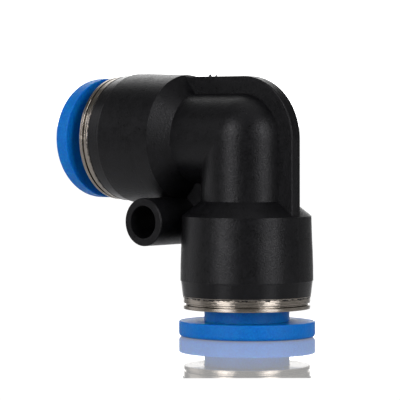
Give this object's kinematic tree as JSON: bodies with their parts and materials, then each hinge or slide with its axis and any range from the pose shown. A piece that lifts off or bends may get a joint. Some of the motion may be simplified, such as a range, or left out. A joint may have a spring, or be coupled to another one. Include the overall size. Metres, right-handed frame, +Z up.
{
  "type": "push to connect union elbow",
  "caption": "Push to connect union elbow for 6 mm tube, with pushable oval release sleeves, sprung claws, seals and a hollow mounting boss.",
  "frame": {"origin": "centre of the bottom port's mouth, on the plane that the fitting stands on", "axes": "+Z up, against the bottom port; -X along the side port; Y across the elbow's plane, with -Y the seen side in the picture"},
  "size_m": [0.0256, 0.0134, 0.0254],
  "materials": {
    "body_black": "satin moulded polyester, lightly eroded texture",
    "sleeve_blue": "satin acetal, blue",
    "ring_nickel": "nickel-plated brass, fine turning lines",
    "claw_steel": "stamped spring stainless steel",
    "keeper_natural": "natural white acetal",
    "seal_rubber": "black nitrile rubber"
  },
  "bodies": {
    "housing": {"elbow_body": "body_black", "bottom_guide_ring": "ring_nickel", "bottom_keeper_ring": "keeper_natural", "bottom_seal": "seal_rubber", "side_guide_ring": "ring_nickel", "side_keeper_ring": "keeper_natural", "side_seal": "seal_rubber"},
    "bottom_claw": {"bottom_lock_claw": "claw_steel"},
    "bottom_sleeve": {"bottom_release_sleeve": "sleeve_blue"},
    "side_claw": {"side_lock_claw": "claw_steel"},
    "side_sleeve": {"side_release_sleeve": "sleeve_blue"}
  },
  "joints": [
    {"name": "bottom_sleeve_turn", "type": "hinge", "parent": "housing", "child": "bottom_claw", "pos_m": [0, 0, 0.00675], "axis": [0, 0, 1], "continuous": true},
    {"name": "bottom_sleeve_press", "type": "slide", "parent": "bottom_claw", "child": "bottom_sleeve", "axis": [0, 0, 1], "range_m": [0, 0.001], "stiffness_N_per_m": 4000, "deforming": ["bottom_lock_claw"]},
    {"name": "side_sleeve_turn", "type": "hinge", "parent": "housing", "child": "side_claw", "pos_m": [-0.01225, 0, 0.019], "axis": [1, 0, 0], "continuous": true},
    {"name": "side_sleeve_press", "type": "slide", "parent": "side_claw", "child": "side_sleeve", "axis": [1, 0, 0], "range_m": [0, 0.001], "stiffness_N_per_m": 4000, "deforming": ["side_lock_claw"]}
  ]
}
